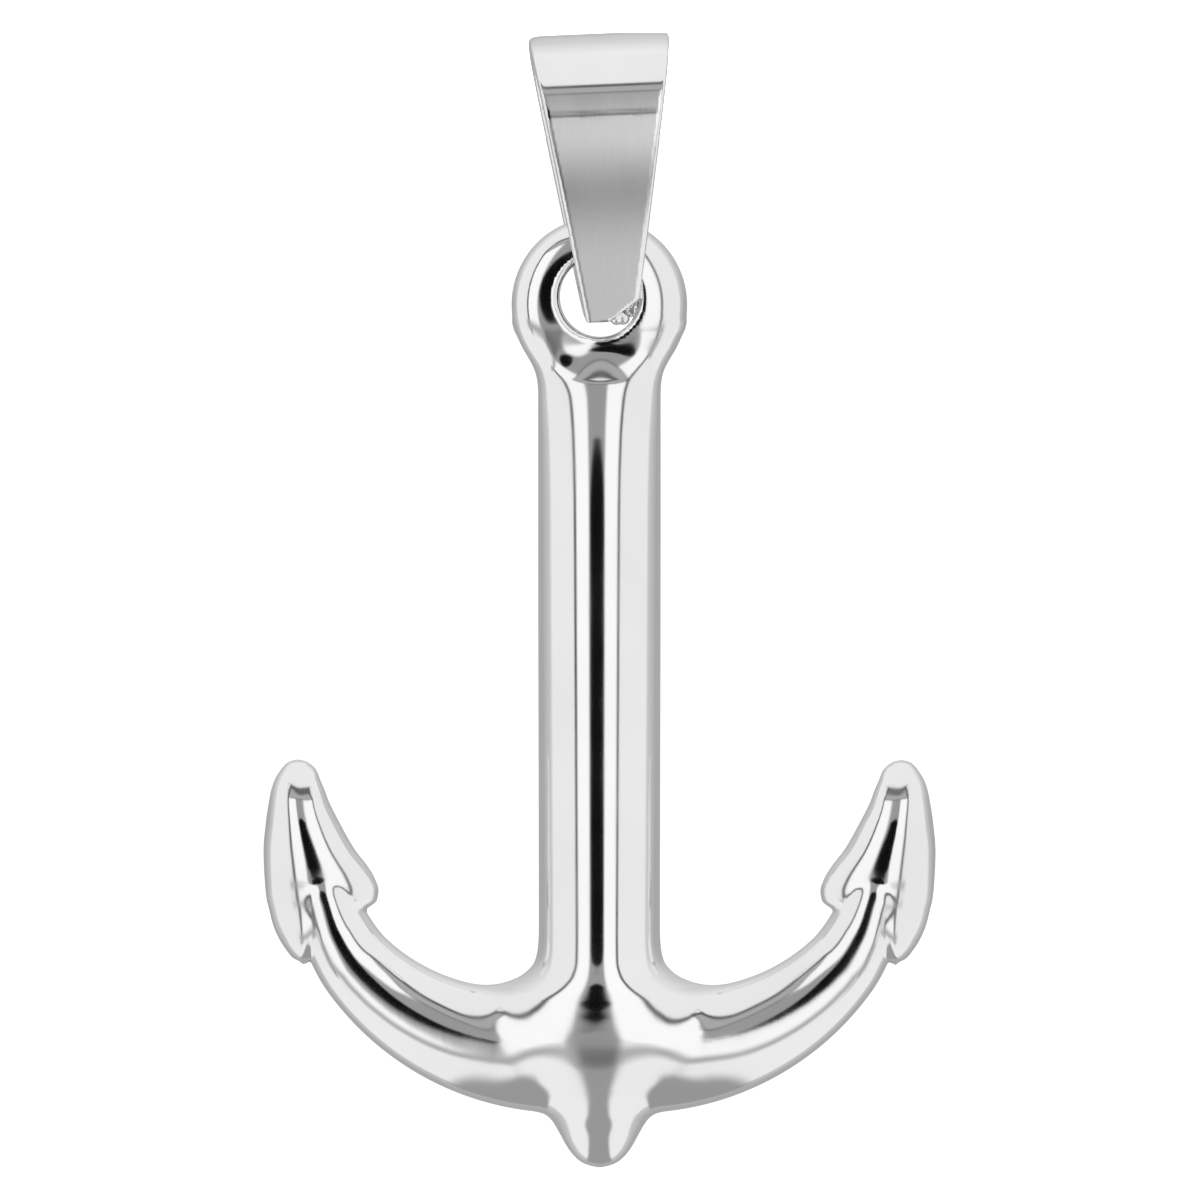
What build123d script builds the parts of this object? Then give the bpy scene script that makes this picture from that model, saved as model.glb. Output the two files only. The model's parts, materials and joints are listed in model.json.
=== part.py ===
# Anchor pendant: a cast silver anchor that hangs from a tapered strip bail.
# Millimetres. X runs across the pendant, the front faces -Y and +Z is up.
# The origin is the chain seat, the inner top of the bail's bend.
import os
from math import asin, atan2, cos, degrees, radians, sin, sqrt

from build123d import *

# Bail: one strip of sheet, bent over and soldered shut at its lower end
bail_bend_inner_radius = 1.5
bail_thickness = 0.62
bail_drop = 7.97
bail_top_width = 4.32
bail_end_width = 1.52
bail_lean = 2.45
bail_outer_round = 0.24
bail_inner_round = 0.08
closure_bend_radius = 0.75
closure_rise = 0.42
corner_clip_height = 0.69
corner_clip_width = 1.05
bead_radius = 0.2
bead_rise = 0.09
bead_offset = 0.16
bead_count = 2

# Eye: a rounded ring with an off-centre hole at the head of the shank
eye_outer_radius = 2.63
eye_hole_radius = 1.2
eye_hole_lift = 0.23
eye_half_depth = 0.78
eye_flank = 1.1
eye_rim_round = 0.28

# Clearances between the bail and the eye that swings in it
end_clearance = 0.45
leg_clearance = 0.1
swing_clearance = 0.06

# Shank: an oval bar from the eye down to the middle of the crown
shank_half_width = 1.84
shank_half_depth = 1.25
shank_length = 22.0
neck_length = 2.4
foot_radius = 1.3

# Arms: oval tubes that fill the gap between an inner and an outer arc
arm_inner_radius = 5.44
arm_inner_offset = 2.68
arm_inner_rise = 6.94
arm_outer_radius = 8.74
arm_outer_offset = 1.07
arm_outer_rise = 6.48
arm_half_depth = 1.2
crown_half_depth = 1.45

# Crown point under the arms
point_drop = 3.91
point_half_width = 1.6
point_half_depth = 1.42

# Flukes: a pillowed arrowhead on the end of each arm
fluke_length = 3.93
fluke_width = 3.48
fluke_half_depth = 0.95
fluke_overhang = 1.81
fluke_rise = 3.62

# Neck sections under the eye: distance down as a share of the neck's
# length, width as a share of the shank's, and how far the depth has
# grown from the eye's to the shank's
NECK = (
    # down, width, growth
    (0.00, 1.06, -0.05),
    (0.22, 1.03, 0.06),
    (0.48, 1.01, 0.42),
    (0.74, 1.00, 0.84),
    (1.00, 1.00, 1.00),
)

# Arm sections: angle from straight down, share of the gap between the arcs
# that the tube fills, its shift inwards in that gap, and its half depth
ARM = (
    # angle, fill, inward, half_depth
    (2.0, 1.00, 0.00, 1.08),
    (24.0, 1.00, 0.00, 1.00),
    (44.0, 1.00, 0.00, 0.93),
    (58.0, 0.98, 0.02, 0.87),
    (68.0, 0.80, 0.12, 0.82),
    (73.0, 0.52, 0.20, 0.60),
)

# Crown point sections: drop below the crown's middle, then half sizes
POINT = (
    # drop, half_width, half_depth
    (0.000, 1.130, 1.000),
    (0.330, 1.210, 1.000),
    (0.500, 1.100, 0.940),
    (0.655, 0.875, 0.810),
    (0.813, 0.650, 0.630),
    (0.925, 0.430, 0.430),
    (0.975, 0.260, 0.270),
    (0.997, 0.090, 0.100),
)

# Fluke sections from the tip down: drop as a share of the fluke's length,
# both edges as shares of its width, counted inwards from its outermost line
FLUKE = (
    # drop, outer, inner, half_depth
    (0.010, 0.215, 0.380, 0.18),
    (0.084, 0.147, 0.457, 0.44),
    (0.206, 0.078, 0.517, 0.66),
    (0.450, 0.017, 0.629, 0.88),
    (0.695, 0.000, 0.793, 1.00),
    (0.970, 0.017, 1.000, 0.92),
    (1.060, 0.026, 0.991, 0.80),
    (1.122, 0.043, 0.940, 0.66),
    (1.183, 0.060, 0.897, 0.50),
)

# Lobe of the fluke that runs on past the barb, outside the arm
LOBE = (
    # drop, outer, inner, half_depth
    (0.695, 0.004, 0.534, 0.92),
    (0.939, 0.009, 0.509, 0.94),
    (1.183, 0.060, 0.483, 0.88),
    (1.366, 0.138, 0.466, 0.72),
    (1.473, 0.224, 0.440, 0.50),
    (1.534, 0.310, 0.397, 0.22),
)

# Heights that follow from the sizes
hole_z = -bail_drop + eye_hole_radius - end_clearance
eye_z = hole_z - eye_hole_lift
crown_z = eye_z - shank_length


def arc_reach(angle, radius, offset, rise):
    """Distance from the arms' pole to an arc, along a ray at this angle."""
    across = offset - (arm_inner_offset + arm_outer_offset) / 2
    up = rise - (arm_inner_rise + arm_outer_rise) / 2
    reach = across * sin(radians(angle)) - up * cos(radians(angle))
    return reach + sqrt(reach**2 + radius**2 - across**2 - up**2)


def arm_section(angle, fill, inward):
    """Centre, half width and outward direction of one section of the left arm."""
    inner = arc_reach(angle, arm_inner_radius, arm_inner_offset, arm_inner_rise)
    outer = arc_reach(angle, arm_outer_radius, arm_outer_offset, arm_outer_rise)
    middle = (inner + outer) / 2 - inward * (outer - inner)
    outward = Vector(-sin(radians(angle)), 0, -cos(radians(angle)))
    pole = Vector(
        -(arm_inner_offset + arm_outer_offset) / 2,
        0,
        crown_z + (arm_inner_rise + arm_outer_rise) / 2,
    )
    return pole + outward * middle, fill * (outer - inner) / 2, outward


# Side view of the bail: its legs run straight from the bend to the pinch,
# where they pass the eye, and the back leg turns forward to close the loop
bail_middle_radius = bail_bend_inner_radius + bail_thickness / 2
bail_outer_radius = bail_bend_inner_radius + bail_thickness
pinch_half_gap = eye_half_depth + leg_clearance
pinch_drop = -hole_z - eye_hole_radius - bail_bend_inner_radius
pinch_distance = sqrt(pinch_drop**2 + pinch_half_gap**2)
leg_angle = asin(bail_bend_inner_radius / pinch_distance) - atan2(pinch_half_gap, pinch_drop)
tangent_y = bail_middle_radius * cos(leg_angle)
tangent_z = -bail_bend_inner_radius - bail_middle_radius * sin(leg_angle)
front_end_y = -tangent_y + (bail_drop + tangent_z) * sin(leg_angle) / cos(leg_angle)
front_inner_y = front_end_y + bail_thickness / 2
closure_z = -bail_drop + closure_rise
closure_start_z = closure_z + closure_bend_radius * (1 - sin(leg_angle))
back_leg_length = (tangent_z - closure_start_z) / cos(leg_angle)

with BuildPart() as strip:
    # The closed loop, then its taper, as wide as the blank at each height
    with BuildSketch(Plane.YZ):
        with BuildLine():
            front_leg = Line((front_end_y, -bail_drop), (-tangent_y, tangent_z))
            bend = ThreePointArc(front_leg @ 1, (0, bail_thickness / 2), (tangent_y, tangent_z))
            back_leg = PolarLine(bend @ 1, back_leg_length, direction=bend % 1)
            closure = JernArc(back_leg @ 1, back_leg % 1, closure_bend_radius, degrees(leg_angle) - 90)
        trace(line_width=bail_thickness)
        with BuildLine():
            Line(closure @ 1, (front_end_y, closure_z))
        trace(line_width=bail_thickness)
    extrude(amount=bail_top_width, both=True)
    with BuildSketch(Plane.XZ.offset(-2 * bail_outer_radius)):
        with BuildLine():
            Polyline(
                (-bail_end_width / 2, -bail_drop),
                (-bail_top_width / 2, bail_thickness),
                (bail_top_width / 2, bail_thickness),
                (bail_end_width / 2, -bail_drop),
                close=True,
            )
        make_face()
    extrude(amount=4 * bail_outer_radius, mode=Mode.INTERSECT)

    # Rounded long edges, outside and inside the loop
    flanks = strip.faces().filter_by(lambda face: abs(face.normal_at().X) > 0.9)
    outer_edges = [
        edge
        for flank in flanks
        for edge in flank.outer_wire().edges()
        if edge.length > 1.2 * bail_thickness
    ]
    inner_edges = [edge for flank in flanks for wire in flank.inner_wires() for edge in wire.edges()]
    fillet(outer_edges, radius=bail_outer_round)
    fillet(inner_edges, radius=bail_inner_round)

    # Lower right corner of the front leg, clipped away in front of the closure
    clip_x = bail_end_width / 2 - corner_clip_width
    clip_slope = corner_clip_height / corner_clip_width
    clip_run = corner_clip_width + bail_top_width
    with BuildSketch(Plane.XZ.offset(-front_inner_y)):
        with BuildLine():
            Polyline(
                (clip_x, -bail_drop),
                (clip_x + clip_run, -bail_drop + clip_run * clip_slope),
                (clip_x + clip_run, -2 * bail_drop),
                (clip_x, -2 * bail_drop),
                close=True,
            )
        make_face()
    extrude(amount=bail_outer_radius, mode=Mode.SUBTRACT)

    # Solder beads in the clipped corner
    for index in range(bead_count):
        bead_x = bead_offset + index * bead_radius
        with Locations((bead_x, front_inner_y - bead_radius / 3, -bail_drop + bead_rise)):
            Sphere(bead_radius)

with BuildPart() as bail:
    # The strip hangs with a slight lean and is relieved where the eye swings
    add(strip.part.rotate(Axis.Y, -bail_lean))
    keep_out = eye_half_depth + swing_clearance
    with BuildSketch(Plane.XZ.offset(-keep_out)):
        with Locations((0, hole_z)):
            Circle(2 * eye_outer_radius)
            Circle(eye_hole_radius - swing_clearance, mode=Mode.SUBTRACT)
    extrude(amount=2 * keep_out, mode=Mode.SUBTRACT)

# Crown: the section where both arms meet, between the two arcs
crown_top_z = crown_z + arm_inner_rise - sqrt(arm_inner_radius**2 - arm_inner_offset**2)
crown_bottom_z = crown_z + arm_outer_rise - sqrt(arm_outer_radius**2 - arm_outer_offset**2)
crown_middle_z = (crown_top_z + crown_bottom_z) / 2
crown_half_height = (crown_top_z - crown_bottom_z) / 2
arm_end = arm_section(*ARM[-1][:3])[0]

with BuildPart() as limb:
    # Left arm, lofted outwards from the crown
    with BuildSketch(Plane(origin=(0, 0, crown_middle_z), x_dir=(0, 0, -1), z_dir=(-1, 0, 0))):
        Ellipse(crown_half_height, crown_half_depth)
    for angle, fill, inward, half_depth in ARM:
        centre, half_width, outward = arm_section(angle, fill, inward)
        along = Vector(outward.Z, 0, -outward.X)
        with BuildSketch(Plane(origin=centre, x_dir=outward, z_dir=along)):
            Ellipse(half_width, half_depth * arm_half_depth)
    loft()

    # Fluke and its lobe, lofted downwards through level sections
    for sections in (FLUKE, LOBE):
        for drop, outer, inner, half_depth in sections:
            middle_x = arm_end.X - fluke_overhang + fluke_width * (outer + inner) / 2
            level = arm_end.Z + fluke_rise - drop * fluke_length
            with BuildSketch(Plane.XY.offset(level)):
                with Locations((middle_x, 0)):
                    Ellipse(fluke_width * (inner - outer) / 2, half_depth * fluke_half_depth)
        loft()

with BuildPart() as anchor:
    # Eye: a disc with a rounded flank
    flat_radius = eye_outer_radius - eye_flank
    with BuildSketch(Plane.XY.offset(eye_z)):
        with BuildLine():
            Polyline((0, eye_half_depth), (0, -eye_half_depth), (flat_radius, -eye_half_depth))
            flank = EllipticalCenterArc(
                (flat_radius, 0), eye_flank, eye_half_depth, start_angle=-90, arc_size=180
            )
            Line(flank @ 1, (0, eye_half_depth))
        make_face()
    revolve(axis=Axis((0, 0, eye_z), (0, 1, 0)))

    # Hole for the bail, with a rounded rim
    with BuildSketch(Plane.XZ.offset(-2 * eye_half_depth)):
        with Locations((0, hole_z)):
            Circle(eye_hole_radius)
    extrude(amount=4 * eye_half_depth, mode=Mode.SUBTRACT)
    rims = [
        edge
        for edge in anchor.edges().filter_by(GeomType.CIRCLE)
        if abs(edge.radius - eye_hole_radius) < eye_rim_round / 10
    ]
    fillet(rims, radius=eye_rim_round)

    # Neck, which thickens from the eye to the shank, and the straight shank
    neck_top_z = eye_z - eye_hole_radius - eye_rim_round
    for down, width, growth in NECK:
        half_depth = eye_half_depth + growth * (shank_half_depth - eye_half_depth)
        with BuildSketch(Plane.XY.offset(neck_top_z - down * neck_length)):
            Ellipse(width * shank_half_width, half_depth)
    loft()
    with BuildSketch(Plane.XY.offset(neck_top_z - neck_length)):
        Ellipse(shank_half_width, shank_half_depth)
    extrude(amount=crown_middle_z - neck_top_z + neck_length)

    # Arms and flukes on both sides, filleted where they meet the shank
    add(limb.part)
    mirror(limb.part, about=Plane.YZ)
    crotches = [
        edge
        for edge in anchor.edges()
        if abs(edge.center().Z - crown_top_z) < crown_half_height
        and shank_half_width / 2 < abs(edge.center().X) < 2 * shank_half_width
    ]
    fillet(crotches, radius=foot_radius)

    # Crown point, lofted downwards through level sections
    for drop, half_width, half_depth in POINT:
        with BuildSketch(Plane.XY.offset(crown_middle_z - drop * point_drop)):
            Ellipse(half_width * point_half_width, half_depth * point_half_depth)
    loft()

anchor.part.label = "anchor"
bail.part.label = "bail"
os.makedirs("parts", exist_ok=True)
export_step(anchor.part, "parts/anchor.step")
export_step(bail.part, "parts/bail.step")
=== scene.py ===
import json
from collections import namedtuple
from math import atan2, cos, radians, sin, sqrt, tan

import bpy
import numpy as np
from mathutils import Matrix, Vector


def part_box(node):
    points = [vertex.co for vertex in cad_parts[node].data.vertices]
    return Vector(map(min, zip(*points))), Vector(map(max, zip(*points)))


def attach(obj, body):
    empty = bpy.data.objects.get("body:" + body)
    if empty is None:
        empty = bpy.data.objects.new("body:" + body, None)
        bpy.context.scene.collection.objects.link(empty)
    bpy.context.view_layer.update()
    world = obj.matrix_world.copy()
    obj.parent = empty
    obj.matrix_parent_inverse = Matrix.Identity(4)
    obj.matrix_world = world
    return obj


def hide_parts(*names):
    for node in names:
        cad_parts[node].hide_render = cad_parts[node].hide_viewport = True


# Everything is in millimetres until it becomes a mesh
MM = 0.001

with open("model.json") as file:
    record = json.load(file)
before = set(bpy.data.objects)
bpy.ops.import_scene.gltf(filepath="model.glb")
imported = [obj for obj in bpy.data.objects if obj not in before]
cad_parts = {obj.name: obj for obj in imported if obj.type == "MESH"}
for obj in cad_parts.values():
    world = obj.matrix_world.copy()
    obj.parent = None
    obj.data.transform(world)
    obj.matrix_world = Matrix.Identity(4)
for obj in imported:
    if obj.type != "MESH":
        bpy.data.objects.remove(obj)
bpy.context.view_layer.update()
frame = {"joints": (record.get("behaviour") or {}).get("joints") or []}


def box_mm(node):
    """Lowest and highest corner of a solid, in millimetres."""
    low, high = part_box(node)
    return np.array(low) / MM, np.array(high) / MM


def table(columns, *rows):
    """Rows whose values are read by the names of the columns."""
    row_type = namedtuple("row", columns)
    return [row_type(*row) for row in rows]


anchor_low, anchor_high = box_mm("anchor")
bail_top_z = box_mm("bail")[1][2]
hole_z = frame["joints"][0]["pos_m"][2] / MM

# Eye at the head of the shank, its face turned slightly right and down, with
# a shallow dip under the hole
eye_radius = 2.63
eye_z = anchor_high[2] - eye_radius
eye_half_depth = 0.78
eye_face_radius = 1.1
eye_turn = 0.055
eye_lean = 0.05
eye_fullness = 2.75
dip_depth = 0.2
dip_reach = 1.0
dip_start = 0.5
dip_length = 1.1
hole_radius = 1.2
hole_rim = 0.3
neck_blend = 0.75

# Shank, neck and crown point: one spine of sections from the tip up
tip_z = anchor_low[2]
spine_fullness = 2.0
SPINE = table(
    "above_tip half_width half_depth",
    (0.00, 0.05, 0.05),
    (0.06, 0.32, 0.18),
    (0.15, 0.53, 0.29),
    (0.30, 0.72, 0.41),
    (0.54, 0.92, 0.54),
    (1.10, 1.24, 0.78),
    (1.55, 1.50, 0.975),
    (2.04, 1.86, 1.118),
    (2.58, 2.48, 1.231),
    (3.09, 2.80, 1.304),
    (3.54, 2.92, 1.338),
    (4.14, 3.00, 1.366),
    (4.59, 3.12, 1.405),
    (5.04, 3.02, 1.442),
    (5.49, 2.40, 1.434),
    (5.85, 2.02, 1.400),
    (6.20, 1.86, 1.369),
    (6.60, 1.83, 1.352),
    (7.15, 1.82, 1.345),
    (18.85, 1.84, 1.245),
    (20.05, 1.84, 1.225),
    (21.85, 1.84, 1.13),
    (22.95, 1.84, 0.985),
    (23.40, 1.84, 0.90),
    (23.55, 1.84, 0.865),
    (23.70, 1.84, 0.81),
    (24.10, 1.84, 0.65),
    (24.50, 1.84, 0.48),
    (24.85, 1.70, 0.32),
    (25.10, 1.40, 0.12),
)

# Arms: tubes between an arc along their inside and one along their outside.
# They start and end at angles from straight down, in degrees, around a pole
# midway between the centres of the arcs.
crown_below_eye = 22.0
crown_z = eye_z - crown_below_eye
Arc = namedtuple("Arc", "radius off_axis above_crown")
inner_arc = Arc(5.44, 2.68, 6.94)
outer_arc = Arc(8.74, 1.07, 6.48)
pole_x = (inner_arc.off_axis + outer_arc.off_axis) / 2
pole_z = crown_z + (inner_arc.above_crown + outer_arc.above_crown) / 2
arm_start_angle = -45
arm_start_softness = 8
arm_end_angle = 75.8
arm_end_distance = 7.0
arm_ridge_slope = 0.06
arm_ridge_rounding = 0.12

# Arm sections by the angle from straight down, in degrees: the share of the
# gap between the arcs that is filled, the shift inwards as a share of that
# gap, and how full the section is on either side of its crest
ARM = table(
    "angle half_depth fill inward inner_fullness outer_fullness",
    (-24, 1.185, 1.00, 0.00, 1.7, 2.7),
    (-8, 1.185, 1.00, 0.00, 1.65, 2.7),
    (0, 1.165, 1.00, 0.00, 1.65, 2.65),
    (10, 1.075, 1.00, 0.00, 1.65, 2.65),
    (20, 0.98, 1.00, 0.00, 1.9, 2.8),
    (30, 0.897, 1.00, 0.00, 2.0, 2.8),
    (38, 0.845, 1.00, 0.00, 2.0, 2.8),
    (45, 0.813, 1.00, 0.00, 2.1, 2.8),
    (50, 0.80, 1.00, 0.00, 2.1, 2.8),
    (58, 0.795, 1.00, 0.03, 2.2, 2.6),
    (68, 0.82, 0.92, 0.12, 2.3, 2.5),
    (80, 0.85, 0.86, 0.16, 2.4, 2.5),
)

# Crown, where the arms run into the spine: the ridge is rounder and higher
# there, and the blend grows up to the crotch and towards the middle of the depth
crown_ridge_rounding = 0.8
crown_ridge_reach = 1.5
crown_lift = 0.12
crown_lift_reach = 4.5
crown_blend = 0.35
crotch_blend = 0.65
crotch_start = 2.6
crotch_rise = 2.4
middle_blend = 0.2
middle_reach = 1.3

# Flukes: sections from the tip down, by their distances from the axis of the
# anchor, with the rounding of the ridge and how full each side is
fluke_half_width = 1.3
facet_slope = 0.1
fluke_end_steepness = 10
fluke_blend = 0.11
FLUKE = table(
    "above_tip outer ridge inner half_depth rounding outer_fullness inner_fullness",
    (12.23, 9.12, 9.06, 9.00, 0.05, 0.05, 2.3, 3.6),
    (12.18, 9.30, 9.06, 8.82, 0.17, 0.05, 2.3, 3.6),
    (12.09, 9.43, 9.06, 8.67, 0.27, 0.05, 2.3, 3.6),
    (11.91, 9.58, 9.06, 8.50, 0.38, 0.05, 2.3, 3.6),
    (11.61, 9.76, 9.05, 8.38, 0.512, 0.05, 2.3, 3.6),
    (11.31, 9.86, 9.03, 8.25, 0.617, 0.05, 2.3, 3.4),
    (11.01, 9.92, 9.00, 8.14, 0.700, 0.06, 2.3, 3.2),
    (10.35, 10.02, 8.90, 7.81, 0.79, 0.10, 2.2, 2.9),
    (9.51, 10.09, 8.70, 7.33, 0.806, 0.25, 2.1, 2.7),
    (9.06, 10.08, 8.60, 6.98, 0.803, 0.34, 2.05, 2.6),
    (8.70, 10.06, 8.55, 6.76, 0.787, 0.40, 2.0, 2.6),
    (8.31, 10.03, 8.53, 6.63, 0.756, 0.38, 1.9, 2.6),
    (8.01, 9.99, 8.53, 6.68, 0.733, 0.35, 1.85, 2.6),
    (7.77, 9.93, 8.53, 6.96, 0.715, 0.35, 1.8, 2.6),
    (7.26, 9.80, 8.60, 7.50, 0.68, 0.30, 1.75, 2.6),
    (6.81, 9.60, 8.70, 7.86, 0.62, 0.20, 1.75, 2.6),
    (6.45, 9.36, 8.78, 8.16, 0.52, 0.10, 2.0, 2.6),
    (6.27, 9.20, 8.82, 8.40, 0.40, 0.10, 2.0, 2.6),
    (6.17, 9.00, 8.88, 8.76, 0.14, 0.10, 2.0, 2.6),
)

# Bail: a strip with rounded edges bent over an oval, turned slightly to the
# right, with a faintly bowed front leg and a closed lower end
bail_drop = 7.97
strip_thickness = 0.62
strip_edge = 0.17
bend_half_depth = 2.0
bend_half_height = 2.4
bend_blend_height = 0.4
bend_z = bail_top_z - bend_half_height
bail_top_width = 4.32
bail_end_width = 1.52
bail_lean = radians(2.45)
bail_turn = radians(3.9)
top_corner_rise = 0.02
top_corner_rounding = 0.6
leg_angle = radians(8.95)
leg_bow = 0.11
leg_height = 6.1
closure_bend_radius = 0.75
closure_rise = 0.42
closure_overlap = 0.3
clip_height = 0.585
clip_width = 0.85
clip_edge = 0.06
bead_radius = 0.2
bead_sink = bead_radius / 3
bead_rise = 0.09
bead_offset = 0.16
bead_count = 2

middle_half_depth = bend_half_depth - strip_thickness / 2
middle_half_height = bend_half_height - strip_thickness / 2
bow_slope = 4 * leg_bow / leg_height
slant = (tan(leg_angle) - bow_slope) * middle_half_depth / middle_half_height
tangent_y = middle_half_depth / sqrt(1 + slant**2)
tangent_z = bend_z - middle_half_height * slant / sqrt(1 + slant**2)
front_end_y = -tangent_y + leg_height * tan(leg_angle)
closure_z = -bail_drop + closure_rise
closure_start_z = closure_z + closure_bend_radius * (1 - sin(leg_angle))

# Fields: each shape is a function that is below zero inside it and grows with
# the distance from its surface. TINY keeps a divisor off zero, FAR is outside
# everything, and no section is thinner than LEAST_DEPTH.
TINY = 1e-6
FAR = 9
LEAST_DEPTH = 0.03


def join(a, b, blend):
    """Both shapes, with the corner between them filled over this length."""
    near = np.maximum(blend - np.abs(a - b), 0) / blend
    return np.minimum(a, b) - near**3 * blend / 6


def cut(a, b, blend):
    """What the two shapes share, with a rounded edge."""
    return -join(-a, -b, blend)


def ease(t):
    """0 to 1 with a soft start and end."""
    t = np.clip(t, 0, 1)
    return t * t * (3 - 2 * t)


def hill(distance, reach):
    """1 in the middle, falling off to 0 beyond this reach."""
    return np.exp(-((distance / reach) ** 2))


def curve(t, rows, column):
    """Smooth curve through one column of a table, without overshoot."""
    pairs = sorted((row[0], getattr(row, column)) for row in rows)
    places, values = np.array(pairs, float).T
    steps, rises = np.diff(places), np.diff(values)
    slopes = rises / steps
    tangents = np.zeros(len(places))
    tangents[0], tangents[-1] = slopes[0], slopes[-1]
    for i in range(1, len(places) - 1):
        before, after = slopes[i - 1], slopes[i]
        if before * after > 0:
            weight_before = 2 * steps[i] + steps[i - 1]
            weight_after = steps[i] + 2 * steps[i - 1]
            inverse = weight_before / before + weight_after / after
            tangents[i] = (weight_before + weight_after) / inverse
    t = np.clip(t, places[0], places[-1])
    i = np.clip(np.searchsorted(places, t, side="right") - 1, 0, len(steps) - 1)
    s = (t - places[i]) / steps[i]
    near = values[i] * (2 * s**3 - 3 * s**2 + 1) + steps[i] * tangents[i] * (s**3 - 2 * s**2 + s)
    far = values[i + 1] * (3 * s**2 - 2 * s**3) + steps[i] * tangents[i + 1] * (s**3 - s**2)
    return near + far


def pillow(share, y, width, depth, fullness, least_slope=0.15):
    """Section with edges at share 1 and this half depth."""
    across, deep = np.abs(share), np.abs(y) / depth
    reach = (across**fullness + deep**fullness) ** (1 / fullness) + TINY
    steep = (across ** (fullness - 1) / width) ** 2 + (deep ** (fullness - 1) / depth) ** 2
    slope = reach ** (1 - fullness) * np.sqrt(steep)
    return (reach - 1) / np.maximum(slope, least_slope)


def ridge_fall(off, rounding):
    """How far a ridge has fallen at this distance, with a rounded crest."""
    return np.sqrt(off**2 + rounding**2) - rounding


def eye(x, y, z):
    """Disc with a rounded flank, before the hole."""
    flank = eye_radius - eye_face_radius
    share = np.maximum(np.hypot(x, z - eye_z) - eye_face_radius, 0) / flank
    below = eye_z - z
    dip = dip_depth * ease((below - dip_start) / dip_length) * hill(x, dip_reach)
    back = eye_turn * x + eye_lean * below
    return pillow(share, y - back, flank, eye_half_depth - dip, eye_fullness)


def spine(x, y, z):
    """Shank, neck and crown point."""
    above = z - tip_z
    width, depth = curve(above, SPINE, "half_width"), curve(above, SPINE, "half_depth")
    bar = pillow(x / width, y, width, depth, spine_fullness)
    return np.maximum(bar, np.maximum(above - SPINE[-1].above_tip, -above))


def arc_reach(angle, arc, least=0.01):
    """Distance from the arms' pole to an arc, along rays at these angles."""
    across, up = arc.off_axis - pole_x, crown_z + arc.above_crown - pole_z
    along = across * np.sin(angle) - up * np.cos(angle)
    return along + np.sqrt(np.maximum(along**2 + arc.radius**2 - across**2 - up**2, least))


def arms(x, y, z, axis_rounding=0.1):
    """Oval tubes between the two arcs, each with a rounded nose on its fluke."""
    side = np.sqrt(x * x + axis_rounding**2)
    angle = np.arctan2(side - pole_x, pole_z - z)
    turn = np.degrees(angle)
    inner, outer = arc_reach(angle, inner_arc), arc_reach(angle, outer_arc)
    middle = (inner + outer) / 2 - curve(turn, ARM, "inward") * (outer - inner)
    width = (outer - inner) / 2 * curve(turn, ARM, "fill")
    share = (np.hypot(side - pole_x, pole_z - z) - middle) / width
    share = share + crown_lift * hill(x, crown_lift_reach) * np.maximum(1 - share**2, 0)
    nose = width / arm_end_distance
    past_end = np.maximum(angle - radians(arm_end_angle) + nose, 0) / nose
    past_start = np.maximum(arm_start_angle - turn, 0) / arm_start_softness
    rounding = arm_ridge_rounding + crown_ridge_rounding * hill(x, crown_ridge_reach)
    depth = curve(turn, ARM, "half_depth") - arm_ridge_slope * ridge_fall(share * width, rounding)
    fullness = np.where(share < 0, curve(turn, ARM, "inner_fullness"), curve(turn, ARM, "outer_fullness"))
    across = np.hypot(share, past_end + past_start)
    return pillow(across, y, width, np.maximum(depth, LEAST_DEPTH), fullness)


def flukes(x, y, z, least_width=0.02):
    """Barbed arrowheads with a soft ridge between two facets."""
    above = z - tip_z
    outer, ridge, inner = (curve(above, FLUKE, column) for column in ("outer", "ridge", "inner"))
    depth, rounding = curve(above, FLUKE, "half_depth"), curve(above, FLUKE, "rounding")
    off = np.abs(x) - ridge
    outside = off > 0
    width = np.maximum(np.where(outside, outer - ridge, ridge - inner), least_width)
    fullness = np.where(outside, curve(above, FLUKE, "outer_fullness"), curve(above, FLUKE, "inner_fullness"))
    depth = depth - facet_slope * ridge_fall(off, rounding) * np.minimum(depth, 1)
    past_end = np.maximum(above - FLUKE[0].above_tip, FLUKE[-1].above_tip - above)
    share = np.abs(off) / width + np.maximum(past_end, 0) * fluke_end_steepness
    return pillow(share, y, fluke_half_width, np.maximum(depth, LEAST_DEPTH), fullness)


def anchor_field(x, y, z):
    """The cast anchor."""
    in_middle = 1 - ease(np.abs(y) / middle_reach)
    up_crotch = ease((z - tip_z - crotch_start) / crotch_rise)
    crown = crown_blend + crotch_blend * up_crotch + in_middle * (middle_blend + crotch_blend * up_crotch)
    body = join(spine(x, y, z), arms(x, y, z), crown)
    body = join(body, eye(x, y, z), neck_blend)
    body = cut(body, hole_radius - np.hypot(x, z - hole_z), hole_rim)
    return join(body, flukes(x, y, z), fluke_blend)


def leg_depth(z):
    """How far the middle of a leg is from the middle of the bail."""
    along = np.clip((tangent_z - z) / leg_height, 0, 1)
    return tangent_y - (tangent_z - z) * tan(leg_angle) + 4 * leg_bow * along * (1 - along)


closure_centre_y = float(leg_depth(closure_start_z)) - closure_bend_radius * cos(leg_angle)


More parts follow.
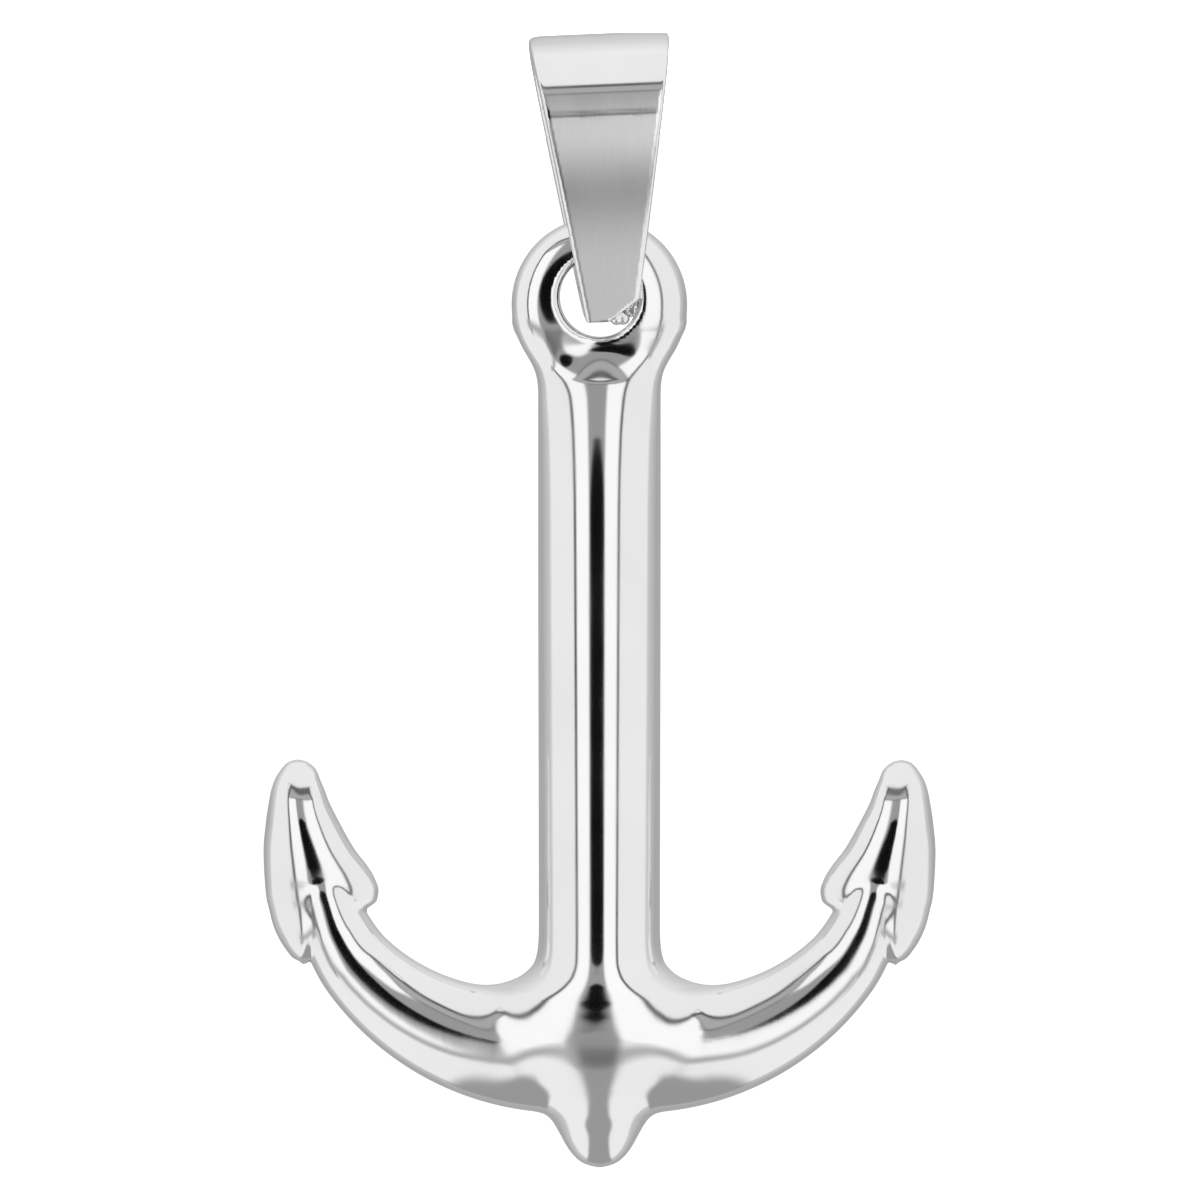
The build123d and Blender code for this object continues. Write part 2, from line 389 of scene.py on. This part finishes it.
def bail_loop(y, z, least_slope=0.1):
    """Distance to the middle of the strip, seen from the side."""
    deep, up = y / middle_half_depth, (z - bend_z) / middle_half_height
    reach = np.sqrt(deep**2 + up**2) + TINY
    steep = np.sqrt((deep / middle_half_depth) ** 2 + (up / middle_half_height) ** 2) / reach
    bend = np.abs(reach - 1) / np.maximum(steep, least_slope)
    leg = np.abs(np.abs(y) - leg_depth(z)) * cos(leg_angle)
    sides = leg + (bend - leg) * ease((z - tangent_z) / bend_blend_height + 0.5)
    front = np.where(y < 0, np.maximum(sides, strip_thickness / 2 - bail_drop - z), FAR)
    back = np.where((y > 0) & (z > closure_start_z), sides, FAR)
    corner = np.hypot(y - closure_centre_y, z - closure_z - closure_bend_radius) - closure_bend_radius
    on_corner = (y > closure_centre_y) & (z < closure_start_z + closure_overlap)
    corner = np.where(on_corner, np.abs(corner), FAR)
    floor_y = np.clip(y, front_end_y, closure_centre_y)
    floor = np.hypot(y - floor_y, z - closure_z)
    return np.minimum(np.minimum(front, back), np.minimum(corner, floor))


def bail_field(x, y, z):
    """The bail, with its clipped corner and solder beads."""
    x, z = x * cos(bail_lean) + z * sin(bail_lean), z * cos(bail_lean) - x * sin(bail_lean)
    x, y = x * cos(bail_turn) + y * sin(bail_turn), y * cos(bail_turn) - x * sin(bail_turn)
    taper = (bail_top_width - bail_end_width) / 2 / (bail_drop + bail_top_z)
    side = (np.abs(x) - bail_end_width / 2 - taper * (z + bail_drop)) / sqrt(1 + taper**2)
    side = cut(side, z - bend_z - bend_half_height - top_corner_rise, top_corner_rounding)
    face = bail_loop(y, z) - strip_thickness / 2
    strip = cut(face, side, strip_edge)
    clip_x = bail_end_width / 2 - clip_width
    clip_tilt = atan2(clip_height, clip_width)
    below_clip = (x - clip_x) * sin(clip_tilt) - (z + bail_drop) * cos(clip_tilt)
    in_front = front_end_y + strip_thickness / 2 - y
    strip = cut(strip, np.minimum(below_clip, in_front), clip_edge)
    for index in range(bead_count):
        off_x = x - bead_offset - index * bead_radius
        off_y = y - (front_end_y + strip_thickness / 2 - bead_sink)
        off_z = z + bail_drop - bead_rise
        bead = np.sqrt(off_x**2 + off_y**2 + off_z**2) - bead_radius
        strip = np.minimum(strip, bead)
    return strip


# Surfaces: quads over a grid, whose points are then moved onto the surface
settle_rounds = 4
slope_step = 0.002
cast_cell, sheet_cell = 0.1, 0.07


def crossings(values, cells):
    """Where the surface crosses the grid's edges, and the mean spot in each cell."""
    inside = values < 0
    total, count = np.zeros(cells + (3,)), np.zeros(cells)
    edges = []
    for axis in range(3):
        start = tuple(slice(0, -1) if k == axis else slice(None) for k in range(3))
        end = tuple(slice(1, None) if k == axis else slice(None) for k in range(3))
        crossing = inside[start] != inside[end]
        where = np.argwhere(crossing)
        from_start, from_end = values[start][crossing], values[end][crossing]
        spot = where.astype(float)
        spot[:, axis] += from_start / (from_start - from_end)
        u, v = [(1, 2), (2, 0), (0, 1)][axis]
        for step_u in (0, 1):
            for step_v in (0, 1):
                around = where.copy()
                around[:, u] -= step_u
                around[:, v] -= step_v
                fits = ((around >= 0) & (around < np.array(cells))).all(1)
                np.add.at(total, tuple(around[fits].T), spot[fits])
                np.add.at(count, tuple(around[fits].T), 1)
        edges.append((where, inside[start][crossing], u, v))
    return edges, total, count


def faces(edges, number):
    """A quad around each crossed edge, wound so that it faces outwards."""
    quads = []
    for where, starts_inside, u, v in edges:
        corners = []
        for step_u, step_v in ((0, 0), (-1, 0), (-1, -1), (0, -1)):
            around = where.copy()
            around[:, u] += step_u
            around[:, v] += step_v
            corners.append(number[tuple(around.T)])
        quad = np.stack(corners, 1)
        quad[~starts_inside] = quad[~starts_inside][:, ::-1]
        quads.append(quad)
    return np.concatenate(quads)


def slopes_at(field, points):
    """The field and its slope at each point."""
    base = field(*points.T)
    shifted = [field(*(points + slope_step * np.eye(3)[k]).T) for k in range(3)]
    return base, (np.stack(shifted, 1) - base[:, None]) / slope_step


def polygonise(field, low, high, cell):
    """Quads over the surface where the field is zero, with its normals."""
    axes = [np.arange(a - cell, b + 2 * cell, cell) for a, b in zip(low, high)]
    grid_y, grid_z = np.meshgrid(axes[1], axes[2], indexing="ij")
    values = np.stack([field(np.full_like(grid_y, x), grid_y, grid_z) for x in axes[0]])
    cells = tuple(len(a) - 1 for a in axes)
    edges, total, count = crossings(values, cells)
    used = count > 0
    number = np.full(cells, -1)
    number[used] = np.arange(used.sum())
    points = np.array([a[0] for a in axes]) + total[used] / count[used][:, None] * cell
    for _ in range(settle_rounds):
        base, slope = slopes_at(field, points)
        move = base[:, None] * slope / np.maximum((slope**2).sum(1), TINY)[:, None]
        points = points - np.clip(move, -cell / 2, cell / 2)
    base, slope = slopes_at(field, points)
    normals = slope / np.linalg.norm(slope, axis=1, keepdims=True)
    return points, faces(edges, number), normals


def piece(name, field, node, cell, material):
    """Mesh for one solid, kept inside its box, which rides on its body and stands for it."""
    low, high = box_mm(node)
    points, quads, normals = polygonise(field, low, high, cell)
    points = np.clip(points, low, high)
    mesh = bpy.data.meshes.new(name)
    mesh.from_pydata((points * MM).tolist(), [], quads.tolist())
    mesh.polygons.foreach_set("use_smooth", np.ones(len(quads), bool))
    mesh.normals_split_custom_set_from_vertices(normals.tolist())
    mesh.materials.append(material)
    mesh.update()
    made = bpy.data.objects.new(name, mesh)
    bpy.context.scene.collection.objects.link(made)
    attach(made, node)
    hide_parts(node)


# Materials: polished silver, its tone, gloss and marks varied by noise
dull_silver, bright_silver = (0.90, 0.90, 0.90), (0.94, 0.94, 0.94)
noise_low, noise_high = 0.3, 0.7
Grain = namedtuple("Grain", "scale stretch detail")
tone_grain = Grain(0.25, 1, 3)
gloss_grain = Grain(0.8, 3, 4)
cast_marks = Grain(5, 8, 5)
sheet_marks = Grain(5, 12, 5)
mark_height = 0.01
smoothest = 0.06


def noise(tree, grain):
    """Noise in the object's own millimetres, stretched along its height."""
    nodes = tree.nodes
    place = nodes.new("ShaderNodeTexCoord")
    mapping = nodes.new("ShaderNodeMapping")
    mapping.inputs["Scale"].default_value = (grain.scale, grain.scale, grain.scale / grain.stretch)
    tree.links.new(place.outputs["Object"], mapping.inputs["Vector"])
    texture = nodes.new("ShaderNodeTexNoise")
    texture.inputs["Scale"].default_value = 1 / MM
    texture.inputs["Detail"].default_value = grain.detail
    tree.links.new(mapping.outputs["Vector"], texture.inputs["Vector"])
    return texture.outputs["Fac"]


def ramp(tree, source, low, high):
    """The noise brought to a range of values."""
    node = tree.nodes.new("ShaderNodeMapRange")
    node.inputs["From Min"].default_value = noise_low
    node.inputs["From Max"].default_value = noise_high
    node.inputs["To Min"].default_value = low
    node.inputs["To Max"].default_value = high
    tree.links.new(source, node.inputs["Value"])
    return node.outputs["Result"]


def silver(name, roughest, marks, mark_strength):
    """Polished silver with faint polishing marks and a slight change of tone."""
    material = bpy.data.materials.new(name)
    material.use_nodes = True
    tree = material.node_tree
    shader = tree.nodes["Principled BSDF"]
    shader.inputs["Metallic"].default_value = 1.0
    tone = tree.nodes.new("ShaderNodeMix")
    tone.data_type = "RGBA"
    tone.inputs["A"].default_value = (*dull_silver, 1)
    tone.inputs["B"].default_value = (*bright_silver, 1)
    tree.links.new(ramp(tree, noise(tree, tone_grain), 0, 1), tone.inputs["Factor"])
    tree.links.new(tone.outputs["Result"], shader.inputs["Base Color"])
    gloss = ramp(tree, noise(tree, gloss_grain), smoothest, roughest)
    tree.links.new(gloss, shader.inputs["Roughness"])
    bump = tree.nodes.new("ShaderNodeBump")
    bump.inputs["Strength"].default_value = mark_strength
    bump.inputs["Distance"].default_value = mark_height * MM
    tree.links.new(noise(tree, marks), bump.inputs["Height"])
    tree.links.new(bump.outputs["Normal"], shader.inputs["Normal"])
    return material


cast_silver = silver("polished_cast_silver", roughest=0.11, marks=cast_marks, mark_strength=0.03)
sheet_silver = silver("polished_sheet_silver", roughest=0.1, marks=sheet_marks, mark_strength=0.015)

piece("cast_anchor", anchor_field, "anchor", cast_cell, cast_silver)
piece("strip_bail", bail_field, "bail", sheet_cell, sheet_silver)

# Light tent: cards laid over one another on the sky, in degrees to the right
# of the front and up from the level
tent_brightness = 0.88
floor_brightness = 0.9
floor_start, floor_softness = 20, 4
white_card, grey_card, dark_frame = 1.03, 0.33, 0.1
CARDS = table(
    "name left right bottom top softness brightness",
    ("frame of the opening", -34.5, 27.0, -30, 35.5, 2.5, dark_frame),
    ("beam", -30.5, 23.5, 25, 32, 2, 0.42),
    ("edge of the beam", -30.5, 23.5, 23.5, 25.5, 1.5, 0.2),
    ("room", -30.5, 23.5, -30, 24, 2, grey_card),
    ("left panel", -30.5, -13.5, -30, 24, 3, white_card),
    ("right panel", 6.4, 23.5, -30, 24, 3.4, white_card),
)
# Slanted upper corners of the opening, by their side and where they start
CORNERS = table(
    "name side start softness brightness",
    ("left corner of the frame", -1, 57.0, 2.5, dark_frame),
    ("outside the left corner", -1, 62.0, 2.5, tent_brightness),
    ("right corner of the frame", 1, 50.0, 2.5, dark_frame),
    ("outside the right corner", 1, 55.0, 2.5, tent_brightness),
)
TABLETOP = table(
    "name left right bottom top softness brightness",
    ("edge of the table", -40.0, 33.0, -18.5, -13.5, 5, 0.42),
    ("shade under the table", -10.0, 6.0, -18.5, -13.5, 5, 0.16),
)
# Lens in the middle of the opening
lens_azimuth, lens_elevation = -3.0, -0.5
lens_radius, lens_softness, lens_brightness = 9.2, 3, 0.004
# Back of the tent, dimmer away from its rim and brighter overhead
back_start, back_softness = 82, 9
back_near, back_far, back_fall, back_overhead = 0.62, 0.42, 35, 0.3
# Grey gap in the floor, widening downwards, in shares of the sky's radius
gap_middle, gap_half_width, gap_softness = -0.03, 0.15, 0.1
gap_start, gap_start_softness = 0.3, 0.1
gap_widening_start, gap_spread = 0.45, 0.5
gap_end, gap_end_softness = -0.2, 0.3

world = bpy.data.worlds.new("light_tent")
bpy.context.scene.world = world
world.use_nodes = True
sky = world.node_tree


def feed(socket, value):
    """A number set on the socket, or another socket linked to it."""
    if isinstance(value, (int, float)):
        socket.default_value = value
    else:
        sky.links.new(value, socket)


def combine(operation, *values):
    """Result of one calculation with numbers or sockets."""
    node = sky.nodes.new("ShaderNodeMath")
    node.operation = operation
    for socket, value in zip(node.inputs, values):
        feed(socket, value)
    return node.outputs[0]


def times(first, second):
    return combine("MULTIPLY", first, second)


def plus(first, second):
    return combine("ADD", first, second)


def minus(first, second):
    return combine("SUBTRACT", first, second)


def step(value, edge, softness):
    """0 below the edge and 1 above it, with a soft change between."""
    node = sky.nodes.new("ShaderNodeMapRange")
    node.interpolation_type = "SMOOTHSTEP"
    node.inputs["From Min"].default_value = edge - softness / 2
    node.inputs["From Max"].default_value = edge + softness / 2
    feed(node.inputs["Value"], value)
    return node.outputs["Result"]


def between(value, low, high, softness):
    """1 between the two edges."""
    return times(step(value, low, softness), minus(1, step(value, high, softness)))


def lay(under, share, brightness):
    """A brightness laid over what is under it, by this share."""
    node = sky.nodes.new("ShaderNodeMix")
    feed(node.inputs["Factor"], share)
    feed(node.inputs["A"], under)
    feed(node.inputs["B"], brightness)
    return node.outputs["Result"]


def in_card(card):
    """1 inside the card."""
    inside_width = between(azimuth, card.left, card.right, card.softness)
    return times(inside_width, between(elevation, card.bottom, card.top, card.softness))


def lay_cards(under, cards):
    """The cards laid over what is under them, one after another."""
    for card in cards:
        under = lay(under, in_card(card), card.brightness)
    return under


def lay_corners(under):
    """The corners of the opening, cut off at a slant."""
    for corner in CORNERS:
        outwards = plus(elevation, times(azimuth, corner.side))
        share = times(step(outwards, corner.start, corner.softness), in_card(CARDS[0]))
        under = lay(under, share, corner.brightness)
    return under


def back_of_tent():
    """Brightness behind the pendant."""
    fall = combine("DIVIDE", minus(off_front, back_start), back_fall)
    fall = combine("MINIMUM", combine("MAXIMUM", fall, 0), 1)
    overhead = times(combine("MAXIMUM", toward_z, 0), back_overhead)
    return plus(lay(back_near, fall, back_far), overhead)


def lay_gap(under):
    """The gap in the floor."""
    below = step(times(toward_z, -1), gap_start, gap_start_softness)
    widening = times(combine("MAXIMUM", minus(-gap_widening_start, toward_z), 0), gap_spread)
    off_gap = combine("ABSOLUTE", minus(toward_x, gap_middle))
    in_gap = minus(1, step(minus(off_gap, widening), gap_half_width, gap_softness))
    below = times(below, step(front, gap_end, gap_end_softness))
    return lay(under, times(below, in_gap), grey_card)


def lay_lens(under):
    """The dark lens."""
    across = minus(azimuth, lens_azimuth)
    up = minus(elevation, lens_elevation)
    off_lens = combine("SQRT", plus(times(across, across), times(up, up)))
    in_lens = minus(1, step(off_lens, lens_radius, lens_softness))
    return lay(under, in_lens, lens_brightness)


direction = sky.nodes.new("ShaderNodeTexCoord")
parts = sky.nodes.new("ShaderNodeSeparateXYZ")
feed(parts.inputs["Vector"], direction.outputs["Generated"])
toward_x, toward_y, toward_z = parts.outputs
front = times(toward_y, -1)
azimuth = combine("DEGREES", combine("ARCTAN2", toward_x, front))
elevation = combine("DEGREES", combine("ARCSINE", toward_z))
off_front = combine("DEGREES", combine("ARCCOSINE", front))

brightness = lay_corners(lay_cards(tent_brightness, CARDS))
behind = step(off_front, back_start, back_softness)
brightness = lay(brightness, behind, back_of_tent())
lowered = times(step(times(elevation, -1), floor_start, floor_softness), minus(1, behind))
brightness = lay(brightness, lowered, floor_brightness)
brightness = lay_lens(lay_cards(lay_gap(brightness), TABLETOP))
feed(sky.nodes["Background"].inputs["Color"], brightness)

# Pale floor and white backdrop, which shine by themselves
floor_z = -45.0
stage_radius = 6000.0
floor_sides = 96
backdrop_segments, backdrop_rings = 64, 32
stage_colour, stage_roughness = (0.9, 0.9, 0.9), 0.9
floor_glow, backdrop_glow = 0.45, 1.0


def glow(name, strength):
    """Pale matt surface that shines by itself."""
    material = bpy.data.materials.new(name)
    material.use_nodes = True
    shader = material.node_tree.nodes["Principled BSDF"]
    shader.inputs["Base Color"].default_value = (*stage_colour, 1)
    shader.inputs["Roughness"].default_value = stage_roughness
    shader.inputs["Emission Color"].default_value = (1, 1, 1, 1)
    shader.inputs["Emission Strength"].default_value = strength
    return material


bpy.ops.mesh.primitive_circle_add(vertices=floor_sides, radius=stage_radius * MM, fill_type="NGON",
                                  location=(0, 0, floor_z * MM))
floor = bpy.context.object
floor.name = "pale_floor"
floor.data.materials.append(glow("pale_floor", floor_glow))
floor.visible_glossy = False

bpy.ops.mesh.primitive_uv_sphere_add(segments=backdrop_segments, ring_count=backdrop_rings,
                                     radius=stage_radius * MM)
backdrop = bpy.context.object
backdrop.name = "white_backdrop"
backdrop.data.materials.append(glow("white_backdrop", backdrop_glow))
for ray in ("diffuse", "glossy", "transmission", "shadow"):
    setattr(backdrop, f"visible_{ray}", False)

# Camera at the photograph's angle, far off with a long lens
camera_yaw, camera_rise = radians(2.0), radians(1.2)
camera_distance = 1000.0
frame_width = 36.0
sensor_width = 36.0
nearest_seen, farthest_seen = 10.0, 100000.0
aim_x, aim_z = 0.018, -16.314
aim = Vector((aim_x, 0, aim_z)) * MM
toward = Vector((sin(camera_yaw) * cos(camera_rise), -cos(camera_yaw) * cos(camera_rise), sin(camera_rise)))
camera = bpy.data.objects.new("camera", bpy.data.cameras.new("camera"))
camera.data.sensor_width = sensor_width
camera.data.lens = sensor_width * camera_distance / frame_width
camera.data.clip_start, camera.data.clip_end = nearest_seen * MM, farthest_seen * MM
camera.location = aim + toward * camera_distance * MM
camera.rotation_mode = "QUATERNION"
camera.rotation_quaternion = (-toward).to_track_quat("-Z", "Y")
bpy.context.scene.collection.objects.link(camera)
bpy.context.scene.camera = camera
bpy.context.scene.view_settings.view_transform = "Standard"
